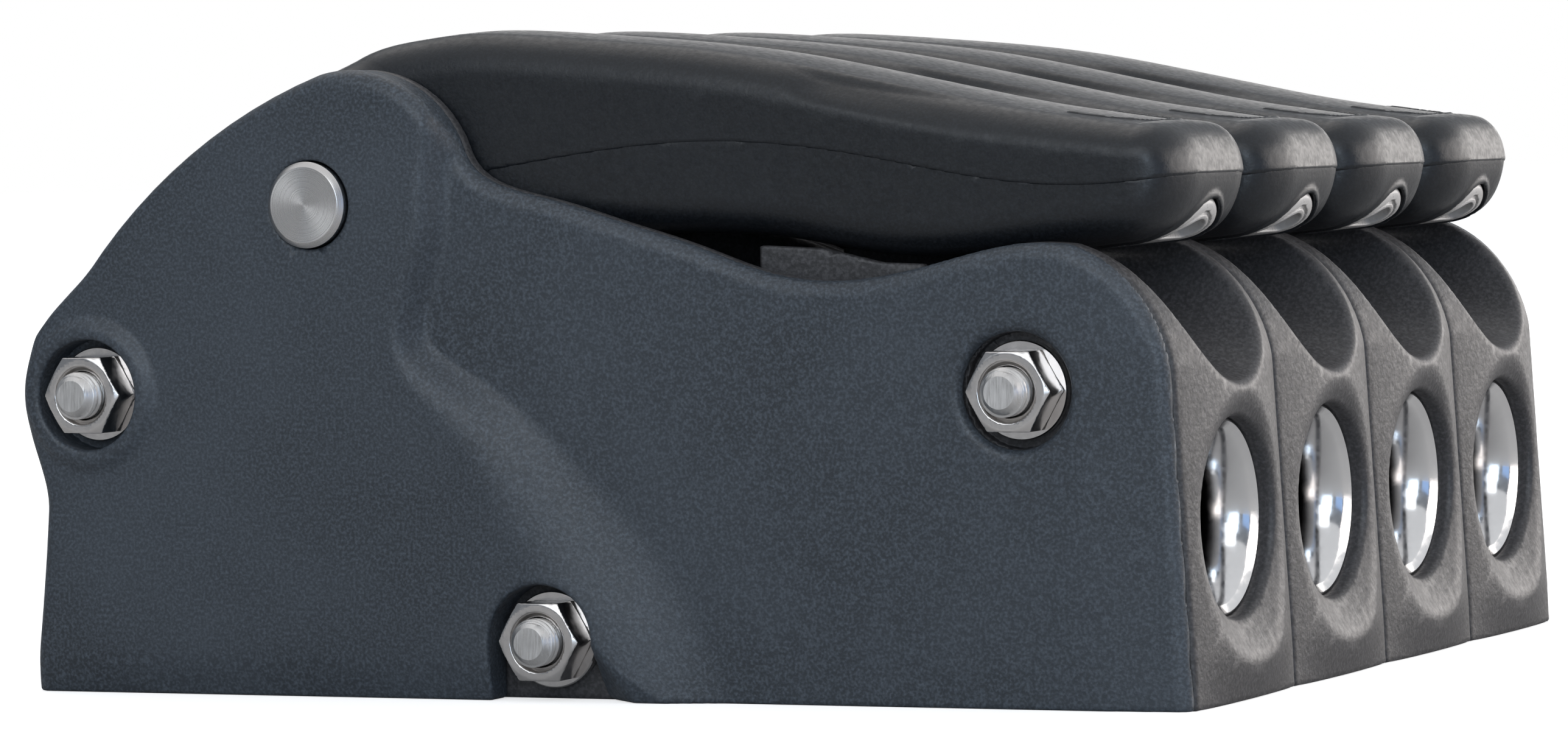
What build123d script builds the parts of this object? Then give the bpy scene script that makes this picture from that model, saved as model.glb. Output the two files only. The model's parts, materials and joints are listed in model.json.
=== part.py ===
"""Four-gang rope clutch: four identical lever-operated line clutches bolted side by side.

Frame: +X towards the winch end, where the lever tips are and the lines leave,
+Y across the gang, +Z up from the deck. The origin is the middle of the base.
All sizes are in millimetres.
"""
from build123d import *
from math import cos, radians, sin, tan
import os

os.makedirs("parts", exist_ok=True)

# ---------------------------------------------------------------- driving dimensions
MODULES = 4
PITCH = 27.5            # from one line to the next
SEAM = 0.1              # gap between neighbouring body shells
BODY_W = PITCH - SEAM
CAVITY_HALF = 12.0      # half the clear width inside a body shell
PLATE_T = 1.8           # side plate, forward part
STEP_T = 2.6            # how far the rear part of a side plate stands proud of the rest
BLOCK_HALF = MODULES * PITCH / 2
PLATE_Y = BLOCK_HALF + PLATE_T      # outer face of the forward part of a side plate
STEP_Y = PLATE_Y + STEP_T           # outer face of the rear part of a side plate

# Side outline, as X and Z
REAR_X = -66.9
SHOULDER = (-64.2, 37.4)
BACK_MID = (-49.6, 54.3)
HUMP_CENTRE = (-27.2, 52.3)
HUMP_R = 13.0
HUMP_START = 104        # degrees, where the back curve meets the hump
HUMP_ARC = -86
SADDLE = [(-5.4, 52.1), (11.3, 46.7), (27.6, 42.7), (38.0, 44.3)]
CREST = (49.3, 46.4)
BROW_MID = (58.0, 43.1)
FRONT_TOP = (63.1, 34.0)
FRONT_X = 65.0
CREASE = [(-16.0, 60.0), (-17.3, 47.0), (-19.2, 36.2), (-8.8, 27.2), (5.8, 8.8), (9.4, -1.0)]
RING_R = 7.5            # raised ring round the rear rod
RING_H = 0.8
BULGE = 2.0             # how far the middle of a shell's front face stands forward of its seams
BULGE_R = (PITCH / 2) ** 2 / (2 * BULGE) + BULGE / 2

# Pins, rods and lines
PIN = (-31.4, 51.4)
PIN_R = 4.5
PIN_PROUD = 1.0
RUNNING = 0.05          # radial clearance of the pin in the pieces that turn on it
ROD_FRONT = (46.8, 31.7)
ROD_REAR = (-58.6, 31.7)
ROD_LOWER = (-5.7, 6.2)
ROD_R = 2.5
ROD_HOLE_R = 2.6
ROD_STICKS_OUT = 2.9    # thread beyond the nut
NUT_T = 2.7
NUT_FLATS = 8.0
WASHER_R = 5.0
WASHER_T = 1.0
POCKET_R = 5.85
SEAT_FRONT = BLOCK_HALF - 1.0       # distance from the middle of the gang to each washer's seat
SEAT_REAR = BLOCK_HALF + 1.5
SEAT_LOWER = BLOCK_HALF
LINE_Z = 18.3           # height of the lines
BORE_R = 10.1
NECK_R = 8.6
THROAT_R = 7.0

# Body shell
FLOOR_Z = 9.5
BLOCK_FRONT_X = 44.0    # inner face of the front block
BLOCK_REAR_X = -50.0    # inner face of the rear block
TIP_SLOT_Z = 44.6       # floor of the gap that a lever's front end lies in
COVER_DROP = (48.0, 40.0)           # heights between which the cavity's rear wall slopes
RIB_X = 17.0
RIB_IN = 9.4            # lever rest ribs: inner and outer distance from the module's middle
RIB_OUT = 10.9
RIB_TOP = [(BLOCK_FRONT_X, 36.5), (35.0, 44.3), (30.5, 44.5), (24.0, 46.0), (RIB_X, 46.4)]
SCOOP_R = 11.5
SCOOP_Z = 43.2
SCOOP_TILT = 15.0
DECK_HOLE_X = (-42.0, 36.0)
DECK_HOLE_R = 3.25
DECK_HEAD_R = 6.5
DECK_SEAT_Z = 5.0
MOUTH_X = 64.2          # where the line bore opens into its shallow dish, mirrored at the rear
MOUTH_TAPER = -61
NECK_X = 52.2           # shoulder between the wide and the narrow bore

# Line bush, in the front end's X and distance from the line; mirrored for the rear ones
LIP = (62.8, 9.6)
BELL_MID = (60.4, 7.8)
THROAT_FROM, THROAT_TO = 56.5, 48.5
TAIL_MID = (46.5, 7.3)
TAIL_END = (45.5, 8.0)
BUSH_NECK_R = 8.5
BUSH_R = 10.0
BUSH_SHOULDER_X = 52.4
LIP_EDGE = 0.4

# Lever
LEVER_HALF = 11.7
BELLY_HALF = 9.6        # half the width of the flat underneath
HUB_R = 13.2
EAR_IN = 8.3            # inner face of the lever's ears
SLOT_R = 9.8
SLOT_REAR_TOP = 63.6    # the slot reaches up to here behind the hub, so that the open lever clears the cam
TIP_X = 63.0
TIP_CORNER_R = 6.8
PLUG_AT = (57.6, 47.6)  # middle of the tip plug's face, and how steeply it slopes up to the tip
PLUG_SLOPE = 27
PLUG_SEAT = (5.2, 4.2)
PLUG_SEAT_DEPTH = 3.0
PLUG_FIT = 0.2

# Cam and jaw
CAM_HALF = 8.0
CAM_HUB_R = 9.0
CAM_TEETH = 9
CAM_FROM, CAM_TO = -79.0, -55.0     # degrees below the horizontal through the pin
CAM_R_FROM, CAM_R_TO = 38.4, 44.6
TOOTH_H = 0.9
JAW_X = (-30.0, 4.0)
JAW_HALF = 10.0
JAW_Z = (9.6, 12.4)
JAW_TOOTH_PITCH = 2.0
JAW_GROOVE_R = 16.0
JAW_GROOVE_DEPTH = 0.8
SPRING_WIRE_R = 0.6
SPRING_R = 6.9
SPRING_POCKET_R = 9.4
SPRING_POCKET_DEPTH = 4.6
SPRING_LEG = 4.5


def module_y(number):
    """Y of the middle of a module, numbered from 1 at the -Y side."""
    return (number - (MODULES + 1) / 2) * PITCH


def side_plane(y):
    """Sketch plane at the given Y whose sketch axes are X and Z and whose normal is -Y."""
    return Plane.XZ.offset(-y)


def save(piece, name):
    """Label a finished piece and write it as its own STEP file."""
    piece.part.label = name
    export_step(piece.part, f"parts/{name}.step")


def side_outline(forward=0.0):
    """Closed side outline: flat base, rounded back, hump over the pin, saddle, front crest."""
    with BuildSketch() as outline:
        with BuildLine():
            back = Line((REAR_X, 0), SHOULDER)
            hump = CenterArc(HUMP_CENTRE, HUMP_R, HUMP_START, HUMP_ARC)
            ThreePointArc(back @ 1, BACK_MID, hump @ 0)
            saddle = Spline(hump @ 1, *SADDLE, CREST, tangents=[hump % 1, (1, 0)])
            crest_end = (CREST[0] + forward, CREST[1])
            crest = Line(saddle @ 1, crest_end) if forward else saddle
            brow = ThreePointArc(
                crest @ 1,
                (BROW_MID[0] + forward, BROW_MID[1]),
                (FRONT_TOP[0] + forward, FRONT_TOP[1]),
            )
            front = Line(brow @ 1, (FRONT_X + forward, 0))
            Line(front @ 1, back @ 0)
        make_face()
    return outline.sketch_local


# ---------------------------------------------------------------- side plates
def rear_zone():
    """Everything behind the crease that runs from the hump's foot down to the base."""
    with BuildSketch() as zone:
        with BuildLine():
            crease = Spline(*CREASE)
            Polyline(crease @ 1, (-80.0, CREASE[-1][1]), (-80.0, 80.0), (CREASE[0][0], 80.0), crease @ 0)
        make_face()
    return zone.sketch_local


with BuildPart() as side_plate_left:
    with BuildSketch(side_plane(-BLOCK_HALF)):
        add(side_outline())
    extrude(amount=PLATE_T)
    with BuildSketch(side_plane(-PLATE_Y)):
        add(side_outline())
        add(rear_zone(), mode=Mode.INTERSECT)
    extrude(amount=STEP_T)
    # raised ring round the rear rod, and the rod's pocket in it
    with BuildSketch(side_plane(-BLOCK_HALF)):
        with Locations(ROD_REAR):
            Circle(RING_R)
    extrude(amount=PLATE_T + STEP_T + RING_H)
    with BuildSketch(side_plane(-SEAT_REAR)):
        with Locations(ROD_REAR):
            Circle(POCKET_R)
    extrude(amount=10, mode=Mode.SUBTRACT)
    with BuildSketch(side_plane(-BLOCK_HALF + 1)):
        with Locations(ROD_FRONT):
            Circle(POCKET_R)
        with Locations(ROD_REAR):
            Circle(ROD_HOLE_R)
        with Locations(PIN):
            Circle(PIN_R + 0.02)
        # arched pocket for the lower rod, open at the base and ramped on its front side
        with Locations(ROD_LOWER):
            Circle(POCKET_R)
        with BuildLine():
            Polyline(
                (ROD_LOWER[0] - POCKET_R, -1),
                (ROD_LOWER[0] - POCKET_R, ROD_LOWER[1]),
                (ROD_LOWER[0] + POCKET_R, ROD_LOWER[1]),
                (ROD_LOWER[0] + POCKET_R + 6, -1),
                close=True,
            )
        make_face()
    extrude(amount=20, mode=Mode.SUBTRACT)
save(side_plate_left, "side_plate_left")

with BuildPart() as side_plate_right:
    mirror(side_plate_left.part, about=Plane.XZ)
save(side_plate_right, "side_plate_right")


# ---------------------------------------------------------------- body shells
def build_body_shell(number):
    """One clutch's moulded body: side walls, front and rear blocks, floor, ribs and scoop."""
    y = module_y(number)
    front_slope = (FRONT_X - FRONT_TOP[0]) / FRONT_TOP[1]
    bulge_axis = (-front_slope, 0, 1)
    with BuildPart() as relief:
        # what lies outside the bulged front face: a slab with an upright cylinder taken out
        with BuildSketch(Plane.XY.offset(-5)):
            with Locations((FRONT_X + 1, y)):
                Rectangle(26, PITCH + 2)
        extrude(amount=60)
        centre = (FRONT_X + BULGE - BULGE_R, y, 0)
        with BuildSketch(Plane(origin=centre, x_dir=(0, 1, 0), z_dir=bulge_axis).offset(-20)):
            Circle(BULGE_R)
        extrude(amount=100, mode=Mode.SUBTRACT)
    with BuildPart() as shell:
        with BuildSketch(side_plane(y + BODY_W / 2)):
            add(side_outline(forward=BULGE))
        extrude(amount=BODY_W)
        add(relief.part, mode=Mode.SUBTRACT)
        # cavity for the lever, cam and jaw
        with BuildSketch(side_plane(y + CAVITY_HALF)):
            with BuildLine():
                Polyline(
                    (BLOCK_REAR_X, FLOOR_Z),
                    (BLOCK_FRONT_X, FLOOR_Z),
                    (BLOCK_FRONT_X, TIP_SLOT_Z),
                    (FRONT_X, TIP_SLOT_Z),
                    (FRONT_X, 80),
                    (BLOCK_REAR_X - 2, 80),
                    (BLOCK_REAR_X - 2, COVER_DROP[0]),
                    (BLOCK_REAR_X, COVER_DROP[1]),
                    close=True,
                )
            make_face()
        extrude(amount=2 * CAVITY_HALF, mode=Mode.SUBTRACT)
        # finger scoop under the lever's tip
        tilt = radians(SCOOP_TILT)
        scoop_start = Plane(
            origin=(FRONT_X + BULGE + 5, y, SCOOP_Z - 5 * tan(tilt)),
            x_dir=(0, -1, 0),
            z_dir=(-cos(tilt), 0, sin(tilt)),
        )
        with BuildSketch(scoop_start):
            Circle(SCOOP_R)
            Rectangle(2 * SCOOP_R, 30, align=(Align.CENTER, Align.MIN))
        extrude(amount=34, mode=Mode.SUBTRACT)
        # lever rest ribs
        for side in (-1, 1):
            far_side = max(side * RIB_IN, side * RIB_OUT)
            with BuildSketch(side_plane(y + far_side)):
                with BuildLine():
                    Polyline((RIB_X, FLOOR_Z), (BLOCK_FRONT_X, FLOOR_Z), *RIB_TOP, close=True)
                make_face()
            extrude(amount=RIB_OUT - RIB_IN)
        # bores for the line and its two bushes
        with BuildSketch(Plane.YZ.offset(REAR_X - 1)):
            with Locations((y, LINE_Z)):
                Circle(NECK_R)
        extrude(amount=140, mode=Mode.SUBTRACT)
        for end in (-1, 1):
            with BuildSketch(Plane(origin=(end * NECK_X, y, LINE_Z), z_dir=(end, 0, 0))):
                Circle(BORE_R)
            extrude(amount=20, mode=Mode.SUBTRACT)
            with BuildSketch(Plane(origin=(end * MOUTH_X, y, LINE_Z), z_dir=(end, 0, 0))):
                Circle(BORE_R)
            extrude(amount=6, taper=MOUTH_TAPER, mode=Mode.SUBTRACT)
        # cross holes for the pin and the rods, and washer seats in the outer shells
        with BuildSketch(side_plane(y + PITCH)):
            with Locations(PIN):
                Circle(PIN_R + 0.02)
            with Locations(ROD_FRONT, ROD_REAR, ROD_LOWER):
                Circle(ROD_HOLE_R)
        extrude(amount=2 * PITCH, mode=Mode.SUBTRACT)
        if number in (1, MODULES):
            outward = -1 if number == 1 else 1
            seat = (ROD_FRONT[0], outward * SEAT_FRONT, ROD_FRONT[1])
            with BuildSketch(Plane(origin=seat, z_dir=(0, outward, 0))):
                Circle(POCKET_R)
            extrude(amount=5, mode=Mode.SUBTRACT)
        # deck bolt holes, with room for the bolt heads below the line
        with BuildSketch(Plane.XY.offset(-1)):
            with Locations(*[(x, y) for x in DECK_HOLE_X]):
                Circle(DECK_HOLE_R)
        extrude(amount=FLOOR_Z + 2, mode=Mode.SUBTRACT)
        with BuildSketch(Plane.XY.offset(DECK_SEAT_Z)):
            with Locations(*[(x, y) for x in DECK_HOLE_X]):
                Circle(DECK_HEAD_R)
        extrude(amount=FLOOR_Z, mode=Mode.SUBTRACT)
    return shell


for number in range(1, MODULES + 1):
    save(build_body_shell(number), f"body_shell_{number}")


# ---------------------------------------------------------------- line bushes
def build_bush(number, end):
    """Polished bell-mouthed bush. end is 1 for the winch end and -1 for the mast end."""
    y = module_y(number)
    with BuildPart() as bush:
        with BuildSketch(Plane(origin=(0, y, LINE_Z), x_dir=(end, 0, 0), z_dir=(0, -end, 0))):
            with BuildLine():
                bell = ThreePointArc(LIP, BELL_MID, (THROAT_FROM, THROAT_R))
                throat = Line(bell @ 1, (THROAT_TO, THROAT_R))
                tail = ThreePointArc(throat @ 1, TAIL_MID, TAIL_END)
                Polyline(
                    tail @ 1,
                    (TAIL_END[0], BUSH_NECK_R),
                    (BUSH_SHOULDER_X, BUSH_NECK_R),
                    (BUSH_SHOULDER_X, BUSH_R),
                    (LIP[0] - LIP_EDGE, BUSH_R),
                    bell @ 0,
                )
            make_face()
        revolve(axis=Axis((0, y, LINE_Z), (1, 0, 0)))
    return bush


for number in range(1, MODULES + 1):
    save(build_bush(number, 1), f"front_bush_{number}")
    save(build_bush(number, -1), f"rear_bush_{number}")


# ---------------------------------------------------------------- levers
def draw_parting():
    """Line where the lever's upper and lower mouldings meet, from its root to its tip."""
    return Spline(
        (-13.5, 54.5),
        (-0.4, 56.3),
        (11.7, 57.0),
        (28.0, 55.4),
        (43.1, 52.6),
        (53.8, 51.9),
        (TIP_X, 52.9),
    )


def lever_plan(y):
    """Seen from above, the lever's sides and its rounded tip."""
    with BuildPart() as plan:
        with BuildSketch(Plane.XY.offset(30)):
            with Locations((TIP_X - 60, y)):
                Rectangle(120, 2 * LEVER_HALF)
            fillet(vertices().group_by(Axis.X)[-1], TIP_CORNER_R)
        extrude(amount=60)
    return plan


def build_lever_upper(number):
    """Main lever moulding: hub ears on the pin, and the arched arm above the parting line."""
    y = module_y(number)
    plan = lever_plan(y)
    with BuildPart() as lever:
        with BuildSketch(side_plane(y + LEVER_HALF)):
            with BuildLine():
                parting = draw_parting()
                tip = ThreePointArc(parting @ 1, (61.8, 56.0), (57.6, 58.2))
                crown = Spline(
                    tip @ 1,
                    (45.0, 60.0),
                    (29.4, 63.1),
                    (11.4, 66.6),
                    (-8.0, 68.6),
                    (-17.0, 69.2),
                    (-27.0, 67.9),
                    (-34.0, 64.35),
                )
                Polyline(crown @ 1, PIN, (-22.0, 46.0), parting @ 0)
            make_face()
            with Locations(PIN):
                Circle(HUB_R)
        extrude(amount=2 * LEVER_HALF)
        add(plan.part, mode=Mode.INTERSECT)
        # slot between the ears for the cam and its spring
        with BuildSketch(side_plane(y + EAR_IN)):
            with Locations(PIN):
                Circle(SLOT_R)
            with BuildLine():
                Polyline((-46, 34), (-10, 34), (-14.5, PIN[1]), PIN, (-46, SLOT_REAR_TOP), close=True)
            make_face()
        extrude(amount=2 * EAR_IN, mode=Mode.SUBTRACT)
        with BuildSketch(side_plane(y + LEVER_HALF + 1)):
            with Locations(PIN):
                Circle(PIN_R + RUNNING)
        extrude(amount=2 * LEVER_HALF + 2, mode=Mode.SUBTRACT)
    return lever


def build_lever_lower(number):
    """Underside moulding of the lever, with the oval seat for the tip plug."""
    y = module_y(number)
    plan = lever_plan(y)
    with BuildPart() as cover:
        with BuildSketch(side_plane(y + LEVER_HALF)):
            with BuildLine():
                parting = draw_parting()
                chin = ThreePointArc(parting @ 1, (61.4, 48.8), (56.0, 46.0))
                belly = Spline(chin @ 1, (44.0, 45.0), (30.3, 45.1), (18.1, 47.1), (0.0, 47.6), (-8.0, 48.4))
                Line(belly @ 1, parting @ 0)
            make_face()
        extrude(amount=2 * LEVER_HALF)
        add(plan.part, mode=Mode.INTERSECT)
        # sides drawn in towards the belly, so that it passes between the shells' walls
        with BuildSketch(Plane.YZ.offset(-20)):
            with BuildLine():
                Polyline(
                    (y - LEVER_HALF, 70),
                    (y - LEVER_HALF, 50.5),
                    (y - BELLY_HALF, 44),
                    (y + BELLY_HALF, 44),
                    (y + LEVER_HALF, 50.5),
                    (y + LEVER_HALF, 70),
                    close=True,
                )
            make_face()
        extrude(amount=100, mode=Mode.INTERSECT)
        with BuildSketch(plug_plane(y).offset(-PLUG_SEAT_DEPTH)):
            Ellipse(*PLUG_SEAT)
        extrude(amount=PLUG_SEAT_DEPTH + 6, mode=Mode.SUBTRACT)
    return cover


def plug_plane(y):
    """Plane of the tip plug's outer face, sloping up to the tip; its normal points down and forward."""
    slope = radians(PLUG_SLOPE)
    return Plane(
        origin=(PLUG_AT[0], y, PLUG_AT[1]),
        x_dir=(cos(slope), 0, sin(slope)),
        z_dir=(sin(slope), 0, -cos(slope)),
    )


def build_tip_plug(number):
    """Pale oval plug under the lever's tip, with a D-shaped window."""
    y = module_y(number)
    with BuildPart() as plug:
        with BuildSketch(plug_plane(y).offset(0.1 - PLUG_SEAT_DEPTH)):
            Ellipse(PLUG_SEAT[0] - PLUG_FIT, PLUG_SEAT[1] - PLUG_FIT)
        extrude(amount=2.2)
        with BuildSketch(plug_plane(y).offset(-1.7)):
            with Locations((1.4, 0)):
                Circle(2.0)
            with Locations((-0.6, 0)):
                Rectangle(1.6, 6, mode=Mode.SUBTRACT)
        extrude(amount=3, mode=Mode.SUBTRACT)
    return plug


for number in range(1, MODULES + 1):
    save(build_lever_upper(number), f"lever_upper_{number}")
    save(build_lever_lower(number), f"lever_lower_{number}")
    save(build_tip_plug(number), f"lever_tip_plug_{number}")


# ---------------------------------------------------------------- cams, springs and jaws
def cam_point(degrees, radius):
    """Point at an angle and distance from the pivot pin, in the side view."""
    return (PIN[0] + radius * cos(radians(degrees)), PIN[1] + radius * sin(radians(degrees)))


def cam_edge():
    """Toothed working edge: tips on a spiral that grows towards the front, roots below them."""
    points = []
    for step in range(2 * CAM_TEETH + 1):
        share = step / (2 * CAM_TEETH)
        angle = CAM_FROM + share * (CAM_TO - CAM_FROM)
        radius = CAM_R_FROM + share * (CAM_R_TO - CAM_R_FROM)
        points.append(cam_point(angle, radius - (TOOTH_H if step % 2 == 0 else 0)))
    return points


def build_cam(number):
    """Toothed cam that grips the line, turning on the pivot pin between the lever's ears."""
    y = module_y(number)
    with BuildPart() as cam:
        with BuildSketch(side_plane(y + CAM_HALF)):
            with BuildLine():
                Polyline(
                    cam_point(170, CAM_HUB_R),
                    *cam_edge(),
                    cam_point(-48, 40.5),
                    cam_point(-38, 20.0),
                    cam_point(-15, CAM_HUB_R),
                    close=True,
                )
            make_face()
            with Locations(PIN):
                Circle(CAM_HUB_R)
        extrude(amount=2 * CAM_HALF)
        with BuildSketch(side_plane(y + CAM_HALF + 1)):
            with Locations(PIN):
                Circle(SPRING_POCKET_R)
        extrude(amount=SPRING_POCKET_DEPTH + 1, mode=Mode.SUBTRACT)
        with BuildSketch(side_plane(y + CAM_HALF + 1)):
            with Locations(PIN):
                Circle(PIN_R + RUNNING)
        extrude(amount=2 * CAM_HALF + 2, mode=Mode.SUBTRACT)
    return cam


def build_cam_spring(number):
    """Torsion spring round the pin, which presses the cam down on the line."""
    y = module_y(number)
    with BuildPart() as spring:
        with BuildLine() as wire:
            coil = Helix(
                pitch=1.3,
                height=2.6,
                radius=SPRING_R,
                center=(PIN[0], y + SPRING_POCKET_DEPTH, PIN[1]),
                direction=(0, 1, 0),
            )
            Line(coil @ 0, coil @ 0 - SPRING_LEG * (coil % 0))
            Line(coil @ 1, coil @ 1 + SPRING_LEG * (coil % 1))
        start = wire.wires()[0]
        with BuildSketch(Plane(origin=start @ 0, z_dir=start % 0)):
            Circle(SPRING_WIRE_R)
        sweep(path=start)
    return spring


def jaw_edge():
    """Saw-toothed top of the base jaw, from back to front."""
    count = round((JAW_X[1] - JAW_X[0]) / JAW_TOOTH_PITCH)
    points = []
    for tooth in range(count):
        x = JAW_X[0] + tooth * JAW_TOOTH_PITCH
        points.append((x, JAW_Z[1] - TOOTH_H))
        points.append((x + JAW_TOOTH_PITCH * 0.85, JAW_Z[1]))
    return points


def build_base_jaw(number):
    """Toothed metal jaw set in the floor under the cam."""
    y = module_y(number)
    with BuildPart() as jaw:
        with BuildSketch(side_plane(y + JAW_HALF)):
            with BuildLine():
                Polyline(
                    (JAW_X[0], JAW_Z[0]),
                    *jaw_edge(),
                    (JAW_X[1], JAW_Z[1] - TOOTH_H),
                    (JAW_X[1], JAW_Z[0]),
                    close=True,
                )
            make_face()
        extrude(amount=2 * JAW_HALF)
        # shallow lengthwise groove that centres the line
        with BuildSketch(Plane.YZ.offset(JAW_X[0] - 1)):
            with Locations((y, JAW_Z[1] + JAW_GROOVE_R - JAW_GROOVE_DEPTH)):
                Circle(JAW_GROOVE_R)
        extrude(amount=40, mode=Mode.SUBTRACT)
    return jaw


for number in range(1, MODULES + 1):
    save(build_cam(number), f"cam_{number}")
    save(build_cam_spring(number), f"cam_spring_{number}")
    save(build_base_jaw(number), f"base_jaw_{number}")


# ---------------------------------------------------------------- pin, rods, nuts and washers
with BuildPart() as pivot_pin:
    with BuildSketch(side_plane(STEP_Y + PIN_PROUD)):
        with Locations(PIN):
            Circle(PIN_R)
    extrude(amount=2 * (STEP_Y + PIN_PROUD))
    chamfer(pivot_pin.faces().filter_by(Axis.Y).edges(), 0.4)
save(pivot_pin, "pivot_pin")

RODS = {
    "front": (ROD_FRONT, SEAT_FRONT),
    "rear": (ROD_REAR, SEAT_REAR),
    "lower": (ROD_LOWER, SEAT_LOWER),
}

for rod_name, (place, seat) in RODS.items():
    reach = seat + WASHER_T + NUT_T + ROD_STICKS_OUT
    with BuildPart() as rod:
        with BuildSketch(side_plane(reach)):
            with Locations(place):
                Circle(ROD_R)
        extrude(amount=2 * reach)
        chamfer(rod.faces().filter_by(Axis.Y).edges(), 1.0)
    save(rod, f"tie_rod_{rod_name}")

with BuildPart() as tie_washers:
    for place, seat in RODS.values():
        for top in (seat + WASHER_T, -seat):
            with BuildSketch(side_plane(top)):
                with Locations(place):
                    Circle(WASHER_R)
                    Circle(ROD_R + 0.15, mode=Mode.SUBTRACT)
            extrude(amount=WASHER_T)
save(tie_washers, "tie_washers")

with BuildPart() as tie_nuts:
    for place, seat in RODS.values():
        for top in (seat + WASHER_T + NUT_T, -seat - WASHER_T):
            with BuildSketch(side_plane(top)):
                with Locations(place):
                    RegularPolygon(radius=NUT_FLATS / 2, side_count=6, major_radius=False)
                    Circle(ROD_R + 0.03, mode=Mode.SUBTRACT)
            extrude(amount=NUT_T)
save(tie_nuts, "tie_nuts")
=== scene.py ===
"""Looks of the four-gang rope clutch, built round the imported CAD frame.

Moulded pieces are written as distance fields in millimetres, negative inside, and turned into
meshes by polygonize(). Turned pieces are lathe() meshes. Places come from the frame.
"""

import json
import math

import bmesh
import bpy
import numpy as np
import openvdb
from mathutils import Matrix, Vector


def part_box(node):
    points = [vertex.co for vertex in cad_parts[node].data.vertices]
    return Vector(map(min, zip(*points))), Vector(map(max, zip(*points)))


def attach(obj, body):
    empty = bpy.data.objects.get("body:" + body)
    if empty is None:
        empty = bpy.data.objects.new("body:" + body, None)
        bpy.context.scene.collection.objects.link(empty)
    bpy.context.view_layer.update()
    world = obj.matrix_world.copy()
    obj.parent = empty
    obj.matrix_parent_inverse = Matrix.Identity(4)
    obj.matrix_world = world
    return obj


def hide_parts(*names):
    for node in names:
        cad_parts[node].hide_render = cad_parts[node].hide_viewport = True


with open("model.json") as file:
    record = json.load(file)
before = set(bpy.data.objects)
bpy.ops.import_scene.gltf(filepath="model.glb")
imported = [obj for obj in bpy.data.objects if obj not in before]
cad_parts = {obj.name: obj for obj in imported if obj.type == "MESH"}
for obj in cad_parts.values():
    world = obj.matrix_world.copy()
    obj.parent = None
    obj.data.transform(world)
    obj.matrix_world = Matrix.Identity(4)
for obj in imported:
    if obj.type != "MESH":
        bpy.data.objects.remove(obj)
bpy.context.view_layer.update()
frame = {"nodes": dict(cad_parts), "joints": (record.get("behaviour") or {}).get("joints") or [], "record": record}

# ---------------------------------------------------------------- places, read from the frame
MM = 0.001
JOINTS = {joint["name"]: joint for joint in frame["joints"]}
MOUNTS = {mount["name"]: mount for mount in frame["record"]["mounts"]}
MODULES = sum(node.startswith("lever_upper") for node in frame["nodes"])
MODULE_Y = [JOINTS[f"lever_{number}_hinge"]["pos_m"][1] / MM for number in range(1, MODULES + 1)]
PITCH = MODULE_Y[1] - MODULE_Y[0]
PIN_X, _, PIN_Z = (value / MM for value in JOINTS["lever_1_hinge"]["pos_m"])
LINE_Z = MOUNTS["line_exit_1"]["pos_m"][2] / MM


def low_corner(node):
    """Lowest corner of a CAD node in millimetres."""
    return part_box(node)[0] / MM


def high_corner(node):
    """Highest corner of a CAD node in millimetres."""
    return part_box(node)[1] / MM


def middle(node):
    """Middle of a CAD node in millimetres."""
    return (low_corner(node) + high_corner(node)) / 2


RODS = {name: middle(f"tie_rod_{name}") for name in ("front", "rear", "lower")}
PLATE_IN = high_corner(f"body_shell_{MODULES}").y + 0.05    # inner face of a plate, from the gang's middle
REAR_X = low_corner("side_plate_left").x
FRONT_X = high_corner("side_plate_left").x
RING_TOP = -low_corner("side_plate_left").y         # crest of the ring round the rear rod
STEP_OUT = RING_TOP - 0.8                           # outer face of a plate's rear zone
PLATE_OUT = PLATE_IN + 1.8                          # outer face of its forward zone
TIP_X = high_corner("lever_upper_1").x + 1.2        # the nose is drawn out a little past the CAD tip

# ---------------------------------------------------------------- shape of the mouldings, in millimetres
REAR_WAIST = (REAR_X + 2.3, 21.5)
SHOULDER = (REAR_X + 2.9, 37.4)
BACK_MID = (-49.6, 54.3)
HUMP = (-27.2, 52.3)
HUMP_R = 13.0
HUMP_FROM, HUMP_TO = 104, 30            # degrees round the hump, counted from +X
SADDLE = [(-5.4, 51.6), (2.8, 49.15), (11.3, 46.55), (19.5, 43.75), (27.6, 42.85), (38.0, 44.45)]
CREST = (49.3, 46.4)
CREST_END = (52.5, 46.2)
BROW_MID = (58.0, 43.1)
FRONT_TOP = (63.1, 34.0)
BULGE = 2.0
SHELL_HALF = PITCH / 2 - 0.06
CREASE = [(-16.0, 62.0), (-17.2, 54.9), (-18.1, 46.9), (-20.0, 36.1), (-15.1, 31.9), (-9.6, 27.2),
          (-2.6, 18.4), (5.2, 8.5), (9.4, -1.0)]
POCKET_R = 5.85                         # pockets round the nuts
RING_R = 7.75                           # ring round the rear rod
ROD_HOLE_R = 2.6
PIN_HOLE_R = 4.55                       # pivot pin's hole in shells and levers
PLATE_PIN_HOLE_R = 4.62
CAVITY = [(-50, 9.5), (44, 9.5), (44, 44.6), (75, 44.6), (75, 90), (-52, 90), (-52, 48), (-50, 40)]
CAVITY_HALF = 12.0
RIB_MIDDLE = 10.15
RIB_HALF = 0.75
RIB = [(17, 9), (44.5, 9), (44, 36.5), (35, 44.3), (30.5, 44.5), (24, 46), (17, 46.4)]
SCOOP_R = 11.5
SCOOP_AT = (67.0, 43.2)
SCOOP_TILT = math.radians(15)
BORE_R = 10.1
NECK_R = 8.6
NECK_X = 52.2
MOUTH_X = 64.2
DISH_SLOPE = 1.8
DECK_HOLE_X = (-42.0, 36.0)
DECK_HOLE_R = 3.25
DECK_HEAD_R = 6.5
DECK_HEAD_Z = 5.0

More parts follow.
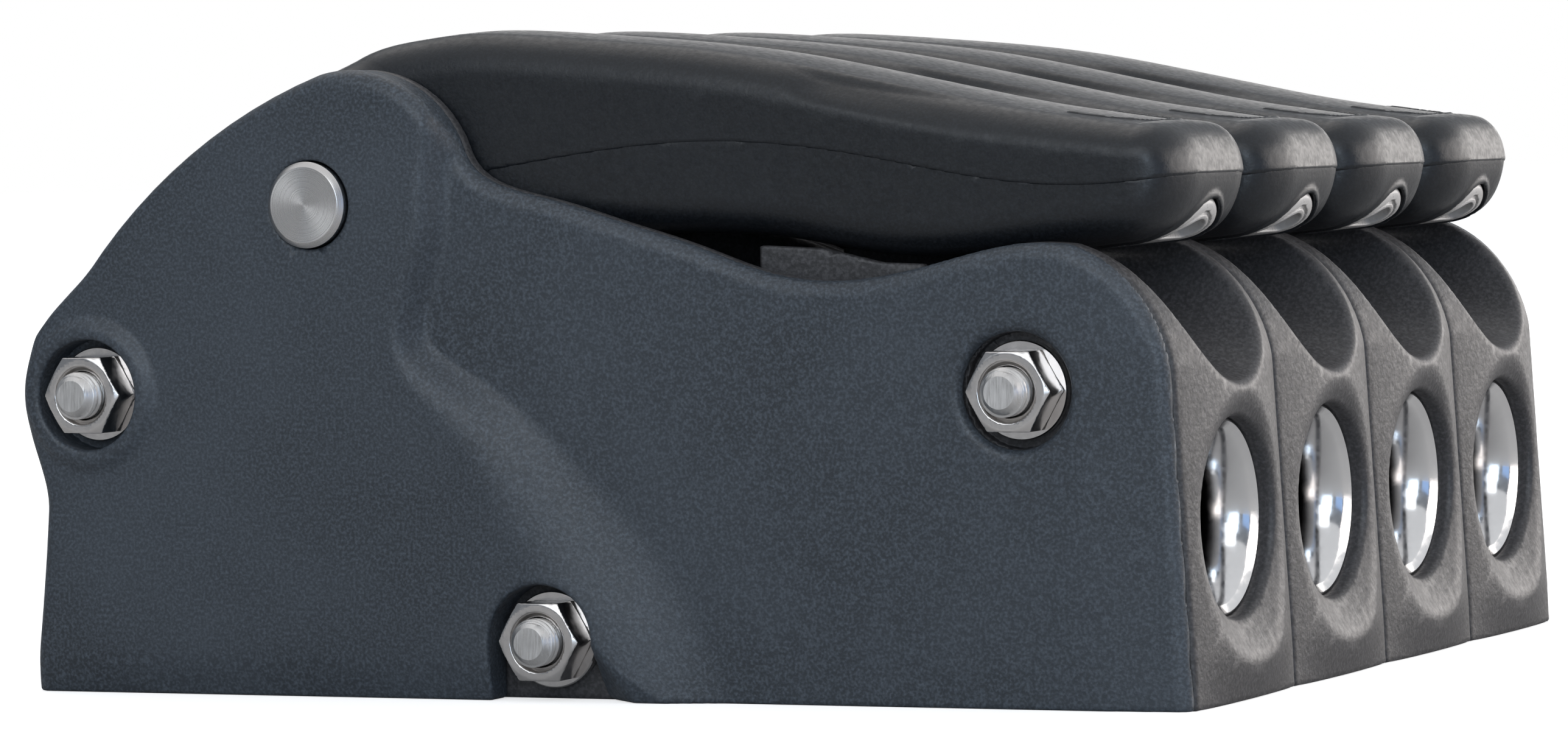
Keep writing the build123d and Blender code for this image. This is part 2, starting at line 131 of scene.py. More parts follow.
PARTING = [(-13.5, 54.5), (-0.4, 56.3), (11.7, 57.0), (28.0, 55.4), (43.1, 52.6), (53.8, 51.9),
           (TIP_X, 52.9)]
CROWN = [(57.6, 58.2), (51.4, 59.1), (42.6, 60.5), (33.8, 62.3), (24.9, 64.2), (15.9, 66.0), (6.8, 67.3),
         (-2.4, 68.2), (-11.8, 69.0), (-17.0, 69.2), (-22.5, 68.75), (-29.7, 67.2), (-34.0, 64.6)]
TIP_MID = (62.8, 56.2)
CHIN_MID = (62.1, 49.0)
BELLY = [(56.0, 46.0), (44.0, 45.0), (30.3, 45.1), (18.1, 47.1), (0.0, 47.6), (-8.0, 48.4)]
LEVER_HALF = 11.7
LEVER_EDGE_R = 3.9
CROWN_ARCH = 0.8                        # how much lower the crown's edges are than its middle
PANEL_HALF = 8.2                        # half width of the raised panel on the crown
PANEL_TAPER = 1.6
PANEL_BEVEL = 1.3
PANEL_HEIGHT = 0.6
TIP_CORNER_R = 7.0
HUB_R = 13.2
SLOT_R = 9.8
EAR_IN = 8.3
UNDER_SETBACK = 0.14                    # the lower moulding stands this far inside the upper one's skin
UNDER_TUCK = 0.45                       # and reaches this far up inside it
PLUG_AT = (57.0, 47.35)
PLUG_SLOPE = math.radians(27)
PLUG_SEAT = (5.95, 5.65)                # half length and half width of the plug's seat, face and groove
PLUG_FACE = (5.7, 5.4)
PLUG_GROOVE = (4.6, 4.3)
PLUG_WINDOW_R = 3.1
PLUG_WINDOW_DEPTH = 1.3

BELL_X = 55.5                           # where the bushes' bell mouth begins
BELL_LENGTH = 7.0
BELL_RISE = 2.7
LIP_AT = (62.5, 9.7)
LIP_R = 0.3

NUT_FLATS = 8.0
NUT_T = 3.7
NUT_CHAMFER_R = 3.95
NUT_CHAMFER = math.radians(28)
NUT_HOLE_R = 2.6
NUT_SINK_R = 3.15
WASHER_T = 1.0
WASHER_R = 5.0
WASHER_HOLE_R = 2.65
WASHER_EDGE = 0.12
THREAD_SHOWING = 1.9
THREAD_PITCH = 0.8
THREAD_LENGTH = 9.0
THREAD_DEPTH = 0.3

CELL = 1.0


# ---------------------------------------------------------------- outlines and fields
def smooth_curve(points, steps=10):
    """Points on a natural cubic spline through the given points."""
    points = np.array(points, float)
    along = np.concatenate([[0], np.cumsum(np.hypot(*np.diff(points, axis=0).T))])
    gaps = np.diff(along)
    count = len(points)
    system = np.eye(count)
    bends = np.zeros((count, 2))
    for i in range(1, count - 1):
        system[i, i - 1:i + 2] = gaps[i - 1], 2 * (gaps[i - 1] + gaps[i]), gaps[i]
        bends[i] = 6 * ((points[i + 1] - points[i]) / gaps[i] - (points[i] - points[i - 1]) / gaps[i - 1])
    second = np.linalg.solve(system, bends)
    curve = []
    for i in range(count - 1):
        for share in np.arange(steps) / steps:
            rest = 1 - share
            bend = ((rest**3 - rest) * second[i] + (share**3 - share) * second[i + 1]) * gaps[i]**2 / 6
            curve.append(rest * points[i] + share * points[i + 1] + bend)
    curve.append(points[-1])
    return curve


def arc_through(start, through, end, steps=16):
    """Points on the arc from start to end that passes through a third point."""
    a, b, c = (complex(*point) for point in (start, through, end))
    ratio = (c - a) / (b - a)
    centre = a + (b - a) * (ratio - abs(ratio)**2) / (2j * ratio.imag)
    turn = np.angle((c - centre) / (a - centre))
    middle_turn = np.angle((b - centre) / (a - centre))
    if turn * middle_turn < 0:
        turn -= math.copysign(2 * math.pi, turn)
    spots = centre + (a - centre) * np.exp(1j * turn * np.linspace(0, 1, steps))
    return [(spot.real, spot.imag) for spot in spots]


def arc(centre, radius, from_degrees, to_degrees, steps=24):
    """Points on an arc about a centre."""
    angles = np.radians(np.linspace(from_degrees, to_degrees, steps))
    return [(centre[0] + radius * math.cos(angle), centre[1] + radius * math.sin(angle)) for angle in angles]


class Outline:
    """Signed distance to a closed outline in the side view, negative inside, kept on a fine grid."""

    STEP = 0.25
    MARGIN = 16.0

    def __init__(self, points):
        corners = np.array([tuple(point) for point in points], float)
        self.low = corners.min(0) - self.MARGIN
        span = corners.max(0) + self.MARGIN - self.low
        counts = np.ceil(span / self.STEP).astype(int) + 1
        x = (self.low[0] + self.STEP * np.arange(counts[0]))[:, None]
        z = (self.low[1] + self.STEP * np.arange(counts[1]))[None, :]
        nearest = np.full((counts[0], counts[1]), 1e9)
        inside = np.zeros(nearest.shape, bool)
        for (ax, az), (bx, bz) in zip(corners, np.roll(corners, -1, axis=0)):
            ex, ez = bx - ax, bz - az
            length = ex * ex + ez * ez
            if length < 1e-12:
                continue
            share = np.clip(((x - ax) * ex + (z - az) * ez) / length, 0, 1)
            nearest = np.minimum(nearest, np.hypot(x - ax - share * ex, z - az - share * ez))
            if az != bz:
                inside ^= ((az > z) != (bz > z)) & (x < ex * (z - az) / ez + ax)
        self.grid = np.where(inside, -nearest, nearest)

    def __call__(self, x, z):
        x, z = np.broadcast_arrays(x, z)
        u = np.clip((x - self.low[0]) / self.STEP, 0, self.grid.shape[0] - 1.001)
        w = np.clip((z - self.low[1]) / self.STEP, 0, self.grid.shape[1] - 1.001)
        i, k = u.astype(int), w.astype(int)
        u, w = u - i, w - k
        near = self.grid[i, k] * (1 - w) + self.grid[i, k + 1] * w
        far = self.grid[i + 1, k] * (1 - w) + self.grid[i + 1, k + 1] * w
        return near * (1 - u) + far * u


def both(a, b, radius=0.0):
    """What is inside both fields, with the edge between them rounded."""
    if radius == 0:
        return np.maximum(a, b)
    rounded = np.hypot(np.maximum(a + radius, 0), np.maximum(b + radius, 0))
    return np.minimum(np.maximum(a, b), -radius) + rounded


def either(a, b, radius=0.0):
    """What is inside either field, with the corner between them filled to a radius."""
    return -both(-a, -b, radius)


def without(a, b, radius=0.0):
    """The first field less the second, with its new edge rounded."""
    return both(a, -b, radius)


def ease(value, low, high):
    """0 below low, 1 above high, and smooth between them."""
    share = np.clip((value - low) / (high - low), 0, 1)
    return share * share * (3 - 2 * share)


def from_point(x, z, point):
    """Distance from a point in the side view."""
    return np.hypot(x - point[0], z - point[1])


# ---------------------------------------------------------------- meshes
def new_piece(name, mesh, y=0.0):
    """Object for a mesh, moved along Y by so many millimetres."""
    piece = bpy.data.objects.new(name, mesh)
    piece.location.y = y * MM
    bpy.context.scene.collection.objects.link(piece)
    return piece


def slopes(field, points, step):
    """Gradient of a field at each point."""
    result = np.empty_like(points)
    for axis in range(3):
        ahead, behind = points.copy(), points.copy()
        ahead[:, axis] += step
        behind[:, axis] -= step
        result[:, axis] = (field(*ahead.T) - field(*behind.T)) / (2 * step)
    return result


def polygonize(name, field, low, high, cell, merge=0.015):
    """Mesh of a field's surface. Vertices are moved onto the surface and take their normals from it.

    merge is how readily flat neighbouring faces are joined, from 0 to 1.
    """
    low = np.array(low, float) - 2.5 * cell
    counts = np.ceil((np.array(high) + 2.5 * cell - low) / cell).astype(int) + 1
    x, y, z = (low[axis] + cell * np.arange(counts[axis]) for axis in range(3))
    values = np.broadcast_to(field(x[:, None, None], y[None, :, None], z[None, None, :]), counts)
    grid = openvdb.FloatGrid(4 * cell)
    grid.copyFromArray(np.clip(values, -4 * cell, 4 * cell).astype(np.float32))
    points, triangles, quads = grid.convertToPolygons(0.0, merge)
    points = points.astype(float) * cell + low
    for _ in range(3):
        slope = slopes(field, points, 0.02)
        steepness = np.maximum((slope**2).sum(1), 0.25)
        move = (-field(*points.T) / steepness)[:, None] * slope
        reach = np.linalg.norm(move, axis=1, keepdims=True)
        points += move * np.minimum(1, 0.4 * cell / np.maximum(reach, 1e-9))
    normals = slopes(field, points, 0.06)
    normals /= np.maximum(np.linalg.norm(normals, axis=1, keepdims=True), 1e-9)
    first, second, third = (points[quads[:, corner]] for corner in range(3))
    facing = (np.cross(second - first, third - first) * normals[quads[:, 0]]).sum(1)
    if np.median(facing) < 0:
        triangles, quads = triangles[:, ::-1], quads[:, ::-1]
    mesh = bpy.data.meshes.new(name)
    mesh.vertices.add(len(points))
    mesh.vertices.foreach_set("co", (points * MM).ravel())
    corners = np.concatenate([quads.ravel(), triangles.ravel()])
    mesh.loops.add(len(corners))
    mesh.loops.foreach_set("vertex_index", corners.astype(np.int32))
    starts = np.concatenate([4 * np.arange(len(quads)), 4 * len(quads) + 3 * np.arange(len(triangles))])
    mesh.polygons.add(len(starts))
    mesh.polygons.foreach_set("loop_start", starts.astype(np.int32))
    mesh.update(calc_edges=True)
    mesh.shade_smooth()
    mesh.normals_split_custom_set_from_vertices(normals.tolist())
    return mesh


def lathe(name, along, radius, at, axis, segments=96, closed=True):
    """Turned mesh round an axis through a point. radius may also vary round the turn."""
    along = np.array(along, float)
    radius = np.array(radius, float)
    turn = np.arange(segments) * 2 * math.pi / segments
    radius = np.broadcast_to(radius.reshape(len(along), -1), (len(along), segments))
    axis = Vector(axis).normalized()
    side = Vector((0, 0, 1))
    across = axis.cross(side)
    frame_axes = np.array([axis, side, across])
    places = np.stack([
        np.broadcast_to(along[:, None], radius.shape), radius * np.cos(turn), radius * np.sin(turn),
    ], axis=-1)
    places = places.reshape(-1, 3) @ frame_axes + np.array(at)
    faces = []
    rows = len(along)
    for row in range(rows if closed else rows - 1):
        for step in range(segments):
            after = (step + 1) % segments
            beyond = (row + 1) % rows
            faces.append((row * segments + step, row * segments + after,
                          beyond * segments + after, beyond * segments + step))
    if not closed:
        faces.append(tuple(range(segments)))
        faces.append(tuple((rows - 1) * segments + step for step in range(segments)))
    mesh = bpy.data.meshes.new(name)
    mesh.from_pydata((places * MM).tolist(), [], faces)
    shaped = bmesh.new()
    shaped.from_mesh(mesh)
    bmesh.ops.recalc_face_normals(shaped, faces=shaped.faces)
    shaped.to_mesh(mesh)
    shaped.free()
    mesh.shade_smooth()
    mesh.set_sharp_from_angle(angle=math.radians(32))
    return mesh


# ---------------------------------------------------------------- materials
def material(name, colour, roughness, metallic=0.0):
    """Principled material, with its node tree, its shader and the piece's own coordinates."""
    made = bpy.data.materials.new(name)
    made.use_nodes = True
    nodes = made.node_tree.nodes
    shader = nodes["Principled BSDF"]
    shader.inputs["Base Color"].default_value = (*colour, 1)
    shader.inputs["Roughness"].default_value = roughness
    shader.inputs["Metallic"].default_value = metallic
    place = nodes.new("ShaderNodeTexCoord")
    return made, shader, place.outputs["Object"]


def add_noise(made, place, scale, detail=2.0, stretch=None):
    """Noise texture in the piece's coordinates. scale is in features per millimetre."""
    tree = made.node_tree
    noise = tree.nodes.new("ShaderNodeTexNoise")
    noise.inputs["Scale"].default_value = scale / MM
    noise.inputs["Detail"].default_value = detail
    if stretch:
        mapping = tree.nodes.new("ShaderNodeMapping")
        mapping.inputs["Scale"].default_value = stretch
        tree.links.new(place, mapping.inputs["Vector"])
        place = mapping.outputs["Vector"]
    tree.links.new(place, noise.inputs["Vector"])
    return noise.outputs["Fac"]


def add_range(made, value, low, high, to_low, to_high):
    """Value remapped from one range to another."""
    tree = made.node_tree
    node = tree.nodes.new("ShaderNodeMapRange")
    for socket, number in zip(("From Min", "From Max", "To Min", "To Max"), (low, high, to_low, to_high)):
        node.inputs[socket].default_value = number
    tree.links.new(value, node.inputs["Value"])
    return node.outputs["Result"]


def add_mix(made, value, first, second):
    """Colour mixed from two by a value."""
    tree = made.node_tree
    node = tree.nodes.new("ShaderNodeMix")
    node.data_type = "RGBA"
    for socket, colour in ((node.inputs[6], first), (node.inputs[7], second)):
        if isinstance(colour, tuple):
            socket.default_value = (*colour, 1)
        else:
            tree.links.new(colour, socket)
    tree.links.new(value, node.inputs[0])
    return node.outputs[2]


def add_bump(made, shader, height, distance, before=None):
    """Bump from a height, in millimetres of relief."""
    tree = made.node_tree
    bump = tree.nodes.new("ShaderNodeBump")
    bump.inputs["Distance"].default_value = distance * MM
    tree.links.new(height, bump.inputs["Height"])
    if before:
        tree.links.new(before, bump.inputs["Normal"])
    tree.links.new(bump.outputs["Normal"], shader.inputs["Normal"])
    return bump.outputs["Normal"]


def moulded_plastic(name, colour, roughness, grain, relief, fleck):
    """Spark-grained plastic: fine pits, pale flecks of worn grain and broad uneven gloss."""
    made, shader, place = material(name, colour, roughness)
    fine = add_noise(made, place, grain, 3.0)
    pits = add_noise(made, place, grain * 0.42, 2.0)
    broad = add_noise(made, place, 0.06, 3.0)
    flecks = tuple(value * fleck for value in colour)
    darker = tuple(value * 0.72 for value in colour)
    lighter = tuple(value * 1.15 for value in colour)
    ground = add_mix(made, add_range(made, broad, 0.3, 0.7, 0, 1), darker, lighter)
    flecked = add_mix(made, add_range(made, fine, 0.42, 0.72, 0, 1), ground, flecks)
    made.node_tree.links.new(flecked, shader.inputs["Base Color"])
    gloss = add_range(made, pits, 0.3, 0.7, roughness - 0.06, roughness + 0.09)
    made.node_tree.links.new(gloss, shader.inputs["Roughness"])
    coarse = add_bump(made, shader, pits, relief * 1.5)
    add_bump(made, shader, fine, relief, before=coarse)
    return made


def turned_steel(name, colour, roughness, axis_at):
    """Steel turned about an axis along Y: rings in the surface, drawn out by the tool."""
    made, shader, place = material(name, colour, roughness, 1.0)
    tree = made.node_tree
    shift = tree.nodes.new("ShaderNodeVectorMath")
    shift.operation = "SUBTRACT"
    shift.inputs[1].default_value = (axis_at[0] * MM, 0, axis_at[1] * MM)
    tree.links.new(place, shift.inputs[0])
    parts = tree.nodes.new("ShaderNodeSeparateXYZ")
    tree.links.new(shift.outputs[0], parts.inputs[0])
    flat = tree.nodes.new("ShaderNodeCombineXYZ")
    tree.links.new(parts.outputs["X"], flat.inputs["X"])
    tree.links.new(parts.outputs["Z"], flat.inputs["Z"])
    length = tree.nodes.new("ShaderNodeVectorMath")
    length.operation = "LENGTH"
    tree.links.new(flat.outputs[0], length.inputs[0])
    noise = tree.nodes.new("ShaderNodeTexNoise")
    noise.noise_dimensions = "1D"
    noise.inputs["Scale"].default_value = 9 / MM
    noise.inputs["Detail"].default_value = 3
    tree.links.new(length.outputs["Value"], noise.inputs["W"])
    add_bump(made, shader, noise.outputs["Fac"], 0.004)
    shader.inputs["Anisotropic"].default_value = 0.8
    round_axis = tree.nodes.new("ShaderNodeTangent")
    round_axis.direction_type = "RADIAL"
    round_axis.axis = "Y"
    tree.links.new(round_axis.outputs[0], shader.inputs["Tangent"])
    gloss = add_range(made, noise.outputs["Fac"], 0.3, 0.7, roughness - 0.05, roughness + 0.08)
    tree.links.new(gloss, shader.inputs["Roughness"])
    cloud = add_noise(made, place, 0.5, 3)
    tone = add_mix(made, cloud, tuple(value * 0.85 for value in colour), colour)
    tree.links.new(tone, shader.inputs["Base Color"])
    return made


def worn_steel(name, colour, roughness, scratch_scale=(1, 1, 1), scratches=3.0, relief=0.006, stain=0.75):
    """Stainless steel with fine scratches and a faint uneven film."""
    made, shader, place = material(name, colour, roughness, 1.0)
    tree = made.node_tree
    lines = add_noise(made, place, scratches, 2.0, scratch_scale)
    film = add_noise(made, place, 0.35, 4.0)
    gloss = add_range(made, lines, 0.3, 0.7, roughness * 0.7, roughness * 1.5)
    tree.links.new(gloss, shader.inputs["Roughness"])
    stained = tuple(value * stain for value in colour)
    tone = add_mix(made, add_range(made, film, 0.35, 0.7, 0, 1), colour, stained)
    tree.links.new(tone, shader.inputs["Base Color"])
    add_bump(made, shader, lines, relief)
    return made


def bush_steel_painted_shade():
    """Polished steel with painted shade down in the throat: its colour goes near black deeper in than 58.2 mm from
    the middle.
    """
    made = worn_steel("bush_steel", (0.88, 0.87, 0.87), 0.14, scratches=1.2, relief=0.0006, stain=0.93)
    tree = made.node_tree
    shader = tree.nodes["Principled BSDF"]
    place = tree.nodes.new("ShaderNodeTexCoord")
    parts = tree.nodes.new("ShaderNodeSeparateXYZ")
    tree.links.new(place.outputs["Object"], parts.inputs[0])
    from_middle = tree.nodes.new("ShaderNodeMath")
    from_middle.operation = "ABSOLUTE"
    tree.links.new(parts.outputs["X"], from_middle.inputs[0])
    # painted shade: the colour fades from steel to near black between 60 mm and 58.2 mm from the middle
    clear_of_painted_shade = add_range(made, from_middle.outputs[0], 58.2 * MM, 60.0 * MM, 0, 1)
    tone = shader.inputs["Base Color"].links[0].from_socket
    tree.links.new(add_mix(made, clear_of_painted_shade, (0.035, 0.035, 0.036), tone), shader.inputs["Base Color"])
    return made


PLATE_PLASTIC = moulded_plastic("plate_plastic", (0.038, 0.046, 0.056), 0.44, 3.2, 0.028, 2.2)
SHELL_PLASTIC = moulded_plastic("shell_plastic", (0.042, 0.041, 0.043), 0.44, 2.8, 0.034, 2.0)
LEVER_PLASTIC = moulded_plastic("lever_plastic", (0.008, 0.0095, 0.012), 0.37, 3.6, 0.014, 1.8)
PLUG_PLASTIC = moulded_plastic("plug_plastic", (0.50, 0.49, 0.48), 0.30, 5.0, 0.004, 1.1)
BUSH_STEEL = bush_steel_painted_shade()
FASTENER_STEEL = worn_steel("fastener_steel", (0.76, 0.73, 0.71), 0.17,
                            scratches=1.2, relief=0.0012, stain=0.88)
ROD_STEEL = worn_steel("rod_steel", (0.84, 0.82, 0.80), 0.36, (7, 2, 0.5), 1.0, 0.02, 0.8)
CAM_STEEL = worn_steel("cam_steel", (0.50, 0.50, 0.51), 0.34, scratches=2.0, relief=0.01)
SPRING_STEEL = worn_steel("spring_steel", (0.52, 0.51, 0.49), 0.28)
JAW_METAL = worn_steel("jaw_metal", (0.30, 0.31, 0.33), 0.38, scratches=2.0, relief=0.01)
PIN_STEEL = turned_steel("pin_steel", (0.84, 0.81, 0.79), 0.27, (PIN_X, PIN_Z))


def finish_piece(piece, made, body, slot, *nodes):
    """Give a piece its material, its body and the CAD nodes that it stands for. slot is not used."""
    piece.data.materials.clear()
    piece.data.materials.append(made)
    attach(piece, body)
    if nodes:
        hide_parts(*nodes)
    return piece


# ---------------------------------------------------------------- side plates
def side_curve():
    """Side outline above the base, from the rear foot over the hump and crest to the front foot."""
    hump = arc(HUMP, HUMP_R, HUMP_FROM, HUMP_TO)
    saddle = smooth_curve([*arc(HUMP, HUMP_R, HUMP_TO, HUMP_TO - 12, 3), *SADDLE, CREST, CREST_END])
    return [
        (REAR_X - 0.6, -6),
        *smooth_curve([(REAR_X, 0), REAR_WAIST, SHOULDER]),
        *arc_through(SHOULDER, BACK_MID, hump[0]),
        *hump,
        *saddle,
        *arc_through(CREST_END, BROW_MID, FRONT_TOP),
        (FRONT_X + 0.3, -6),
    ]


SIDE = Outline(side_curve())
REAR_ZONE = Outline([*smooth_curve(CREASE), (-90, -1), (-90, 70), (-16, 70)])
# the plane that cuts the ramp in front of the lower pocket: a point on it and the way it faces
LOWER_RAMP_AT = (0.4, STEP_OUT, 6.0)
LOWER_RAMP_NORMAL = np.array((-26.4, 31.2, -22.4)) / 46.6


def plate_face(x, z):
    """How far out a plate's face stands: proud behind the crease, and turned in towards the front."""
    softness = 1.6 + 4.6 * ease(-z, -40, -14)
    proud = ease(-REAR_ZONE(x, z), -softness, softness)
    turned_in = 0.9 * ease(x, 53, 68)
    return PLATE_OUT + (STEP_OUT - PLATE_OUT) * proud - turned_in


def plate_field(x, out, z):
    """Side plate, with out measured away from the gang's middle."""
    rear = from_point(x, z, (RODS["rear"].x, RODS["rear"].z))
    side = either(SIDE(x, z), rear - RING_R, 6.0)
    plate = both(side, out - plate_face(x, z), 1.75)
    front = from_point(x, z, (RODS["front"].x, RODS["front"].z))
    lower = from_point(x, z, (RODS["lower"].x, RODS["lower"].z))
    boss = both(rear - RING_R, out - RING_TOP, 1.1)
    plate = either(plate, boss, 0.9)
    plate = both(plate, -z, 0.35)
    plate = both(plate, PLATE_IN - out, 0.25)
    plate = without(plate, both(rear - POCKET_R, PLATE_IN + 1.5 - out), 0.6)
    plate = without(plate, rear - ROD_HOLE_R)
    plate = without(plate, front - POCKET_R, 1.1)
    # arched pocket for the lower rod, open at the base, with a ramp on its front side
    arch_sides = both(np.abs(x - RODS["lower"].x) - POCKET_R, z - RODS["lower"].z)
    ramp = -(
        (x - LOWER_RAMP_AT[0]) * LOWER_RAMP_NORMAL[0]
        + (out - LOWER_RAMP_AT[1]) * LOWER_RAMP_NORMAL[1]
        + (z - LOWER_RAMP_AT[2]) * LOWER_RAMP_NORMAL[2]
    )
    pocket = either(either(lower - POCKET_R, arch_sides), both(ramp, RODS["lower"].x + 3.0 - x))
    plate = without(plate, pocket, 0.5)
    return without(plate, from_point(x, z, (PIN_X, PIN_Z)) - PLATE_PIN_HOLE_R, 0.35)


def build_plate(side, sign):
    """Side plate of one side. sign is -1 for the left side and 1 for the right one."""
    def field(x, y, z):
        return plate_field(x, sign * y, z)

    near, far = sorted((sign * (PLATE_IN - 1), sign * (RING_TOP + 1)))
    mesh = polygonize(f"plate_{side}", field, (REAR_X - 1, near, -1), (FRONT_X + 1, far, 67), 0.32 * CELL)
    piece = new_piece(f"plate_{side}", mesh)
    return finish_piece(piece, PLATE_PLASTIC, "frame", "plate_plastic", f"side_plate_{side}")


# ---------------------------------------------------------------- body shells
CAVITY_OUTLINE = Outline(CAVITY)
RIB_OUTLINE = Outline(RIB)


def shell_field(x, y, z, seat_side=0):
    """One clutch's body, with y from the module's middle. seat_side is where a washer seat is cut."""
    lobe = BULGE * (1 - (y / (PITCH / 2)) ** 2) * ease(x, 40, 60) * ease(z, -3, 6)
    body = both(SIDE(x - lobe, z), np.abs(y) - SHELL_HALF, 0.55)
    body = both(body, -z, 0.35)
    half = CAVITY_HALF - (CAVITY_HALF - SCOOP_R) * ease(x, 38, 46)
    cavity = both(CAVITY_OUTLINE(x, z), np.abs(y) - half, 0.8)
    body = without(body, cavity, 0.5)
    above = (x - SCOOP_AT[0]) * math.sin(SCOOP_TILT) + (z - SCOOP_AT[1]) * math.cos(SCOOP_TILT)
    scoop = np.where(above > 0, np.abs(y), np.hypot(y, above)) - SCOOP_R
    body = without(body, scoop, 0.8)
    ribs = both(RIB_OUTLINE(x, z), np.abs(np.abs(y) - RIB_MIDDLE) - RIB_HALF, 0.3)
    body = either(body, ribs, 0.4)
    from_line = np.hypot(y, z - LINE_Z)
    bore = from_line - np.where(np.abs(x) > NECK_X, BORE_R, NECK_R)
    dish = (from_line - BORE_R - DISH_SLOPE * (np.abs(x) - MOUTH_X)) / math.hypot(1, DISH_SLOPE)
    body = without(body, either(bore, dish, 0.5), 0.55)
    body = without(body, from_point(x, z, (PIN_X, PIN_Z)) - PIN_HOLE_R)
    for rod in RODS.values():
        body = without(body, from_point(x, z, (rod.x, rod.z)) - ROD_HOLE_R)
    for hole_x in DECK_HOLE_X:
        bolt = np.hypot(x - hole_x, y)
        body = without(body, either(bolt - DECK_HOLE_R, both(bolt - DECK_HEAD_R, DECK_HEAD_Z - z)))
    if seat_side:
        seat = from_point(x, z, (RODS["front"].x, RODS["front"].z)) - POCKET_R
        body = without(body, both(seat, SHELL_HALF - 1.0 - seat_side * y))
    return body


def build_shells():
    """The four shells. The middle two share one mesh; each outer one has a washer seat on its outer side."""
    low, high = (REAR_X - 1, -SHELL_HALF, -0.5), (FRONT_X + BULGE + 0.5, SHELL_HALF, 66)
    meshes = {}
    for seat_side in (-1, 0, 1):
        def field(x, y, z, seat_side=seat_side):
            return shell_field(x, y, z, seat_side)

        meshes[seat_side] = polygonize(f"shell_{seat_side + 2}", field, low, high, 0.38 * CELL)
    for number in range(1, MODULES + 1):
        seat_side = {1: -1, MODULES: 1}.get(number, 0)
        piece = new_piece(f"shell_{number}", meshes[seat_side], MODULE_Y[number - 1])
        finish_piece(piece, SHELL_PLASTIC, "frame", "shell_plastic", f"body_shell_{number}")


# ---------------------------------------------------------------- levers
def lever_outline():
    """Whole lever seen from the side, from its root over the crown to the tip and back along the belly."""
    return Outline([
        *arc_through(PARTING[-1], TIP_MID, CROWN[0]),
        *smooth_curve(CROWN),
        (PIN_X, PIN_Z),
        (-22, 46),
        *smooth_curve(BELLY[::-1]),
        *arc_through(BELLY[0], CHIN_MID, PARTING[-1]),
    ])


LEVER_SIDE = lever_outline()
UPPER_ZONE = Outline([*smooth_curve(PARTING), (90, 54), (90, 80), (-60, 80), (-60, 20), (-22, 20), (-22, 46)])
LEVER_SLOT = Outline([(-46, 30), (-10, 30), (-14.5, PIN_Z), (PIN_X, PIN_Z), (-46, 63.6)])


def plug_place(x, z):
    """Distance along the plug's sloping face from its middle, and outwards from that face."""
    along = (x - PLUG_AT[0]) * math.cos(PLUG_SLOPE) + (z - PLUG_AT[1]) * math.sin(PLUG_SLOPE)
    out = (x - PLUG_AT[0]) * math.sin(PLUG_SLOPE) - (z - PLUG_AT[1]) * math.cos(PLUG_SLOPE)
    return along, out


def oval(along, y, half):
    """Distance to an oval with the given half length and half width, near its edge."""
    return (np.hypot(along / half[0], y / half[1]) - 1) * half[1]


def lever_body(x, y, z):
    """Whole arm before it is split at the parting line."""
    dx = x - TIP_X + TIP_CORNER_R
    dy = np.abs(y) - LEVER_HALF + TIP_CORNER_R
    plan = np.hypot(np.maximum(dx, 0), np.maximum(dy, 0)) + np.minimum(np.maximum(dx, dy), 0) - TIP_CORNER_R
    arch = CROWN_ARCH * (y / LEVER_HALF) ** 2 * ease(z, 54, 59)
    return both(LEVER_SIDE(x, z + arch), plan, LEVER_EDGE_R)


def lever_upper_field(x, y, z):
    """Upper moulding: hub ears, and the arm above the parting line with its raised top panel."""
    arm = lever_body(x, y, z)
    # the panel is what is left where the crown beside it is lowered, halfway along the arm
    halfway = ease(x, 19, 25) * ease(-x, -47, -26)
    half = PANEL_HALF - PANEL_TAPER * ease(x, 25, 52)
    beside = ease(np.abs(y), half, half + PANEL_BEVEL)
    near_top = ease(LEVER_SIDE(x, z), -4.0, -1.8) * ease(z - 52 - 0.12 * (45 - x), 0, 3)
    arm = arm + PANEL_HEIGHT * halfway * beside * near_top
    hub = both(from_point(x, z, (PIN_X, PIN_Z)) - HUB_R, np.abs(y) - LEVER_HALF, 1.2)
    arm = either(arm, hub, 2.0)
    arm = both(arm, UPPER_ZONE(x, z), 0.3)
    slot = both(either(from_point(x, z, (PIN_X, PIN_Z)) - SLOT_R, LEVER_SLOT(x, z)), np.abs(y) - EAR_IN, 0.4)
    arm = without(arm, slot, 0.5)
    return without(arm, from_point(x, z, (PIN_X, PIN_Z)) - PIN_HOLE_R)


def lever_lower_field(x, y, z):
    """Lower moulding, set in a little all round, with the plug's oval seat and its thin rim."""
    skin = lever_body(x, y, z) + UNDER_SETBACK
    arm = both(skin, -UNDER_TUCK - UPPER_ZONE(x, z), 0.3)
    along, out = plug_place(x, z)
    edge = oval(along, y, PLUG_SEAT)
    rim = np.hypot(edge - 0.35, skin) - 0.3
    arm = either(arm, both(rim, PLUG_AT[0] - 8 - x), 0.2)
    return without(arm, both(edge, -3.0 - out), 0.25)


def plug_field(x, y, z):
    """Pale oval plug with a D-shaped window and a fine groove, flush with the lever's chin."""
    along, out = plug_place(x, z)
    face = lever_body(x, y, z)
    body = both(oval(along, y, PLUG_FACE), both(face, -2.6 - out), 0.35)
    window = both(np.hypot(along - 0.8, y) - PLUG_WINDOW_R, 0.1 - along, 0.3)
    body = without(body, both(window, -face - PLUG_WINDOW_DEPTH), 0.2)
    groove = np.abs(oval(along, y, PLUG_GROOVE)) - 0.16
    return without(body, both(groove, -face - 0.35))


